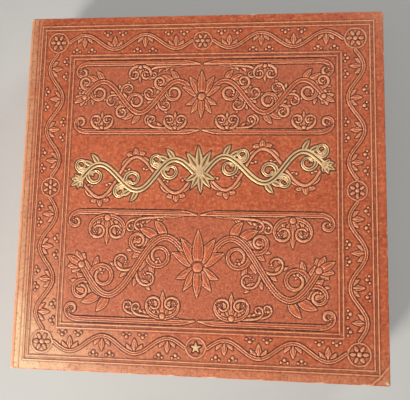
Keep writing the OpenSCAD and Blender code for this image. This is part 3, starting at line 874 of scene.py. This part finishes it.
def front_cover():
    """Outer face in tiles, whose shading is a little crisper than their relief, and the edges."""
    relief, x, y, crease, past = front_relief()
    # ridge tops get a painted highlight that is partly rubbing; hollows and the ring round the gilt get a
    # painted shade that is partly dirt
    mean = blur(relief.h, max(1, int(round(0.95 / PITCH))))
    rubbed_highlight = np.clip((relief.h - mean) / 0.16, 0, 1) * (1 - relief.gilt_ring_shade)
    deep = np.maximum(np.clip((mean - relief.h) / 0.12, 0, 1), relief.gilt_ring_shade)
    wear, fade = ageing(x, y, crease, past, deep)
    tone = np.stack([relief.smooth, relief.band, rubbed_highlight, np.ones_like(rubbed_highlight)], -1)
    z = relief.h + 0.06 * slow_noise(x, y, 90, 5) - 0.06
    z_y, z_x = np.gradient(z, relief.ys, relief.xs)
    normals = np.stack([-z_x, -z_y, np.full_like(z, 1 / CRISP)], -1)
    normals /= np.linalg.norm(normals, axis=-1, keepdims=True)
    px, py = rounded(x, y)
    points = np.stack([px + COVER_X, py, GROUND + z], -1)
    rows, cols = (np.linspace(0, n - 1, TILES + 1).astype(int) for n in z.shape)
    for i in range(TILES):
        for j in range(TILES):
            w = (slice(rows[i], rows[i + 1] + 1), slice(cols[j], cols[j + 1] + 1))
            make_mesh(f"front_cover_cloth_{i + 1}{j + 1}", "front_cloth", points[w], grid_quads(*z[w].shape),
                      M_COVER, "cover_cloth", "front_cover", normals=normals[w].reshape(-1, 3),
                      tone=tone[w], deep=deep[w], wear=wear[w], fade=fade[w])
    rim("front_cover_edges", px, py, around(z), lambda d: GROUND - d, True, "front_cover")


def back_cover():
    """Plain outer face and its edges."""
    r = CORNER - EDGE_R
    xs = np.concatenate([np.linspace(-HALF_W, FACE_X - r, 110), [FACE_X - r / 2, FACE_X]])
    ys = np.linspace(-FACE_Y + r, FACE_Y - r, 110)
    ys = np.concatenate([[-FACE_Y, -FACE_Y + r / 2], ys, [FACE_Y - r / 2, FACE_Y]])
    x, y = np.meshgrid(xs, ys)
    wear = 0.5 * decay(np.minimum(HALF_W - x, HALF_H - np.abs(y)), 2.0)
    px, py = rounded(x, y)
    points = np.stack([px + COVER_X, py, np.zeros_like(px)], -1)
    make_mesh("back_cover_cloth", "back_cloth", points, grid_quads(*x.shape, flip=True), M_CLOTH,
              "cover_cloth", "back_cover", wear=wear)
    rim("back_cover_edges", px, py, np.zeros(len(around(x))), lambda d: d, False, "back_cover", 0.9)


front_cover()
back_cover()


# Spine and joints
def spine():
    """Cloth of the spine, turned round the card at head and tail."""
    foot, r, inner = -HALF_H, 0.8, SPINE_X + 2.0
    prof = [(inner, foot + 12), (inner, foot + 6), (inner, foot + r)]
    prof += [(inner - r * (1 - math.cos(a)), foot + r - r * math.sin(a)) for a in np.radians([30, 60, 90])]
    prof += [(SPINE_X + r - r * math.sin(a), foot + r - r * math.cos(a)) for a in np.radians([0, 30, 60, 90])]
    prof = np.array(prof)
    mid = np.column_stack([np.full(180, SPINE_X), np.linspace(-HALF_H + 2, HALF_H - 2, 180)])
    prof = np.concatenate([prof, mid, prof[::-1] * (1, -1)])
    p, z = np.meshgrid(np.arange(len(prof)), np.linspace(SHOULDER, GROUND - SHOULDER, 34))
    x, y = prof[p, 0], prof[p, 1]
    outer = (x < SPINE_X + 0.01) & (np.abs(y) < HALF_H - 2)
    flat = np.sin(np.pi * (z - SHOULDER) / (GROUND - 2 * SHOULDER))
    x = np.where(outer, x + 0.10 * (1 + slow_noise(y, z, 30, 11)) * flat, x)
    end = HALF_H - np.abs(y)
    wear = 0.62 * decay(end, 2.5) + 0.12 + 0.1 * bell(flat, 0.2)
    fade = np.clip(0.1 + 0.08 * slow_noise(y, z, 60, 41) + 0.2 * decay(end, 14), 0, 0.8)
    make_mesh("spine_cover_cloth", "spine_cloth", np.stack([x, y, z], -1),
              grid_quads(*x.shape, flip=True), M_CLOTH, "spine_cloth", "spine", wear=wear, fade=fade)


def joint(name, z_of, front):
    """Cloth bent a quarter round between a cover and the spine."""
    t, y = np.meshgrid(np.radians(np.linspace(0, 90, 15)), np.linspace(-HALF_H, HALF_H, 330))
    from_end = HALF_H - np.abs(y)
    share = np.clip(from_end / 0.6, 0, 1)
    # the cloth is rounded at its ends, uneven, and pinched in near the head and tail
    round_end = 0.25 * (1 - np.sqrt(share * (2 - share)))
    uneven = np.minimum(0.10 * slow_noise(y, t * 20, 14, 17) * np.sin(2 * t), 0.05)
    outer = SHOULDER - round_end + uneven - 0.25 * bell(from_end - 7, 3) * np.sin(2 * t)
    sides = []
    for r in (outer, np.minimum(outer - 0.1, SHOULDER - CLOTH + round_end)):
        side = np.stack([JOINT_X - r * np.sin(t), y, z_of(SHOULDER - r * np.cos(t))], -1)
        sides.append(side.reshape(-1, 3))
    # paler along the crest of the curve and paler overall, partly rubbing and fading and partly a painted
    # highlight
    wear = 0.30 * np.sin(t) ** 2 + 0.55 * decay(from_end, 2.2) + 0.05
    wear += 0.35 * decay(HALF_H - y, 5) * (1 if front else 0.3)
    wear = np.concatenate([wear.ravel(), wear.ravel() * 0.3])
    node = "front_joint_cloth" if front else "back_joint_cloth"
    o = make_mesh(name, node, np.concatenate(sides), shell_quads(*t.shape, front), M_CLOTH, "joint_cloth",
                  wear=wear, fade=0.34 + 0.3 * wear)
    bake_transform(o)


spine()
joint("back_joint_cover", lambda z: z, False)
joint("front_joint_cover", lambda z: GROUND - z,
      True)


# Linen lining down the back of the block, in strips, each from the middle of one guard to the next
def lining():
    lo, hi = box_mm("block_lining")
    count = len([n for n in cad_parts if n.startswith("guard_")])
    guards = [box_mm(f"guard_{i:02d}") for i in range(1, count + 1)]
    mids = [(a[2] + b[2]) / 2 for a, b in guards]
    ys = np.linspace(lo[1], hi[1], 90)
    for i in range(count, 1, -1):
        foot = lo[2] if i == count else mids[i - 1]
        top = hi[2] if i == 2 else mids[i - 2]
        z, y = np.meshgrid(np.linspace(foot, top, 7), ys)
        fray = 0.03 * np.sin(y * 2.2) + 0.02 * slow_noise(y, z, 4, i)
        outer = np.stack([lo[0] + 0.04 + fray, y, z], -1)
        inner = np.stack([np.full_like(y, hi[0] - 0.01), y, z], -1)
        o = make_mesh(f"lining_{i - 1:02d}_{i:02d}", "block_lining", np.concatenate([outer, inner]),
                      shell_quads(*y.shape), M_LINING, "lining_linen")
        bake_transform(o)


lining()


# Gilt work, swept over the ground
def shown(pts, stems):
    """From zero where points lie under a main stem to one where they are clear of it."""
    out = np.ones(len(pts))
    for line in stems:
        a, d = line[:-1], np.diff(line, axis=0)
        t = ((pts[:, None] - a) * d).sum(2) / (d**2).sum(1)
        near = a + np.clip(t, 0, 1)[..., None] * d
        dist = np.linalg.norm(pts[:, None] - near, axis=2).min(1)
        out = np.minimum(out, smooth_step(dist, GILT_W * 0.32, GILT_W * 0.52))
    return out


def refine(pts, half, step=0.8):
    """Points of a line about a step apart, with their half widths."""
    s = np.concatenate([[0], np.cumsum(np.linalg.norm(np.diff(pts, axis=0), axis=1))])
    t = np.linspace(0, s[-1], max(int(s[-1] / step), 8) + 1)
    return np.stack([np.interp(t, s, pts[:, 0]), np.interp(t, s, pts[:, 1])], 1), np.interp(t, s, half)


def swept(pts, half, profile, lift, stems):
    """Strip along pts with rows of a cross section, sunk where a main stem covers it."""
    d = np.concatenate([pts[1:], pts[-1:]]) - np.concatenate([pts[:1], pts[:-1]])
    d /= np.linalg.norm(d, axis=1, keepdims=True)
    side = np.stack([-d[:, 1], d[:, 0]], 1)
    full = np.clip(half / 0.9, 0, 1)
    v, crests = [], []
    for place, h, crest in profile:
        q = pts + side * (half * place)[:, None]
        top = h * full + lift if h > 0 else h
        over = shown(q, stems)
        v.append(np.column_stack([q, top * over - 0.1 * (1 - over)]))
        crests.append(crest * full)
    quads = grid_quads(len(pts), len(profile), flip=True)
    return np.stack(v, 1).reshape(-1, 3), np.stack(crests, 1).ravel(), quads


def both_sides(side, top):
    """Cross section from its rows on one side and the height and crest at its middle."""
    return [(-place, h, crest) for place, h, crest in side] + [(0, *top)] + side[::-1]


# Rows of place across or distance from the middle, height and crest, the crest setting the gilt's painted
# highlight and shade
GILT_STEM = both_sides([(1.0, -0.1, 0.0), (0.95, 0.08, 0.2), (0.86, 0.24, 0.8), (0.66, 0.40, 1.0),
                        (0.5, 0.44, 1.0), (0.34, 0.36, 0.8), (0.18, 0.16, 0.12)], (0.12, 0.04))
GILT_LEAF = both_sides([(1.0, -0.06, 0.0), (0.9, 0.14, 0.4), (0.78, 0.28, 1.0), (0.52, 0.32, 0.95),
                        (0.3, 0.2, 0.45)], (0.08, 0.0))
GILT_BEAD = [(1.0, -0.06, 0.0), (0.9, 0.2, 0.6), (0.75, 0.3, 1.0), (0.6, 0.22, 0.4), (0.4, 0.24, 0.6),
             (0.2, 0.31, 1.0), (0.02, 0.33, 1.0)]
GILT_RAYS = [(1.0, -0.06, 0.0), (0.94, 0.2, 0.7), (0.8, 0.27, 1.0), (0.55, 0.2, 0.5), (0.3, 0.28, 0.8),
             (0.02, 0.34, 1.0)]


def ringed(outline, rings, lift=0.0):
    """Boss that rises over an outline round zero in rings."""
    v = [np.column_stack([outline * k, np.full(len(outline), h + lift * (h > 0))]) for k, h, _ in rings]
    return np.concatenate(v), np.repeat([crest for *_, crest in rings], len(outline))


def gilt():
    verts, crests, quads = [], [], []
    count = 0
    strokes = gilt_ornament()
    broad = [kind == "stem" and half.min() > 0.45 * GILT_W for kind, _, half in strokes]
    stems = [pts for (_, pts, _), main in zip(strokes, broad) if main]
    a = np.linspace(0, 2 * np.pi, 33)[:-1]
    circle = np.stack([np.cos(a), np.sin(a)], 1)
    for k, ((kind, pts, half), main) in enumerate(zip(strokes, broad)):
        lift = {"leaf": 0.0, "stem": 0.03, "bead": 0.05}[kind] + 0.002 * (k % 5)
        if kind == "bead":
            v, c = ringed(circle * half[0], GILT_BEAD, lift)
            v[:, :2] += pts[0]
            q = grid_quads(len(GILT_BEAD), len(circle), wrap=True)
        else:
            pts, half = refine(pts, half)
            profile = GILT_STEM if kind == "stem" else GILT_LEAF
            v, c, q = swept(pts, np.maximum(half, 0.08), profile, lift, () if main else stems)
        verts.append(v)
        crests.append(c)
        quads.append(q + count)
        count += len(v)
    make_mesh("gilt_scroll", "gilt_flourish", np.concatenate(verts) + (COVER_X, 0, GROUND),
              np.concatenate(quads), M_GILT, "gilt", "front_cover", crest=np.concatenate(crests))


def gilt_star():
    """Five-pointed star with a ridge along each ray."""
    corners = np.array([star_point(k) for k in range(11)])
    outline = np.concatenate([np.linspace(a, b, 5)[:-1] for a, b in zip(corners[:-1], corners[1:])])
    v, crest = ringed(outline, GILT_RAYS)
    quads = grid_quads(len(GILT_RAYS), len(outline), flip=True, wrap=True)
    make_mesh("gilt_star_stamping", "gilt_star", v + (COVER_X, -PATH_Y, GROUND), quads, M_GILT,
              "gilt", "front_cover", crest=crest)


gilt()
gilt_star()

# Materials of the CAD nodes
NODE_MATERIALS = {"leaf_": M_LEAF, "guard_": M_GUARD, "_board": M_BOARD, "_pastedown": M_PASTE,
                  "_flyleaf": M_FLY, "spine_card": M_SPINE_CARD, "block_lining": M_LINING, "gilt": M_GILT}
for name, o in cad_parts.items():
    o.data.materials.clear()
    o.data.materials.append(next((m for part, m in NODE_MATERIALS.items() if part in name), M_CLOTH))


# Floor, lights and camera
def seen_directly(tree):
    """One for rays from the camera and for glossy and transmitted ones, or else zero."""
    path = tree.nodes.new("ShaderNodeLightPath")
    total = path.outputs["Is Camera Ray"]
    for other in ("Is Glossy Ray", "Is Transmission Ray"):
        n = tree.nodes.new("ShaderNodeMath")
        n.operation = "MAXIMUM"
        tree.links.new(total, n.inputs[0])
        tree.links.new(path.outputs[other], n.inputs[1])
        total = n.outputs[0]
    return total


def floor_material():
    k = Nodes("floor", 0.8, 0.2)
    k.bsdf.inputs["Emission Color"].default_value = srgb(198, 197, 194)
    k.set(k.bsdf.inputs["Emission Strength"], k.times(seen_directly(k.t), FLOOR_GLOW))
    return k.done(k.mix(k.noise(0.25, 3, 0.5), srgb(166, 165, 162), srgb(172, 171, 168)))


def add_floor():
    me = bpy.data.meshes.new("floor")
    corners = [(-FLOOR, -FLOOR), (FLOOR, -FLOOR), (FLOOR, FLOOR), (-FLOOR, FLOOR)]
    me.from_pydata([(x, y, FLOOR_Z) for x, y in corners], [], [(0, 1, 2, 3)])
    me.materials.append(floor_material())
    add_object("floor", me)


def area(name, place, target, size, power, color=(1, 1, 1), spread=180):
    d = bpy.data.lights.new(name, "AREA")
    d.shape = "RECTANGLE"
    d.size, d.size_y = size
    d.energy = power
    d.color = color
    d.spread = math.radians(spread)
    o = add_object(name, d)
    o.location = place
    o.rotation_mode = "QUATERNION"
    o.rotation_quaternion = (Vector(target) - Vector(place)).to_track_quat("-Z", "Y")


def add_world():
    """Even light, with a brighter backdrop where it is seen."""
    world = bpy.data.worlds.new("world")
    bpy.context.scene.world = world
    world.use_nodes = True
    tree = world.node_tree
    backdrop = tree.nodes["Background"]
    backdrop.inputs[0].default_value = (1, 1, 1, 1)
    level = tree.nodes.new("ShaderNodeMapRange")
    level.inputs["To Min"].default_value = WORLD_LIGHT
    level.inputs["To Max"].default_value = BACKDROP
    tree.links.new(seen_directly(tree), level.inputs["Value"])
    tree.links.new(level.outputs[0], backdrop.inputs[1])


def add_camera():
    data = bpy.data.cameras.new("camera")
    data.sensor_width = SENSOR_W
    data.lens = SENSOR_W * FOCAL_PX / PHOTO_W_PX
    data.clip_start = 0.01
    camera = add_object("camera", data)
    turn = Matrix((CAMERA_RIGHT, CAMERA_UP, CAMERA_BACK)).transposed()
    camera.matrix_world = Matrix.Translation(Vector(CAMERA_AT)) @ turn.to_4x4()
    bpy.context.scene.camera = camera


# Half the floor's width and its height in metres, and the levels of light
FLOOR, FLOOR_Z = 4.0, -0.0006
FLOOR_GLOW, WORLD_LIGHT, BACKDROP = 0.34, 0.14, 0.38
# Focal length and width of the photo in pixels, and the sensor's width in millimetres
FOCAL_PX, PHOTO_W_PX, SENSOR_W = 395, 410, 36
# Place of the camera and its directions, fitted to the photo
CAMERA_AT = (0.03516, -0.042018, 0.403148)
CAMERA_RIGHT = (0.99686, 0.02156, -0.07621)
CAMERA_UP = (-0.0145, 0.99566, 0.09197)
CAMERA_BACK = (0.07787, -0.09057, 0.99284)
add_floor()
area("key", (-1.01, -1.24, 0.65), (-0.06, -0.08, 0.03), (0.56, 0.56), 4.3, (1.0, 0.96, 0.90), 46)
area("fill", (-0.65, -0.5, 1.25), (0, 0, 0), (1.1, 1.1), 2.4)
area("low", (2.6, 2.9, 1.1), (0.1, 0.1, 0.05), (1.5, 0.9), 5.5, (1, 1, 1), 40)
add_world()
add_camera()
bpy.context.scene.view_settings.view_transform = "Standard"
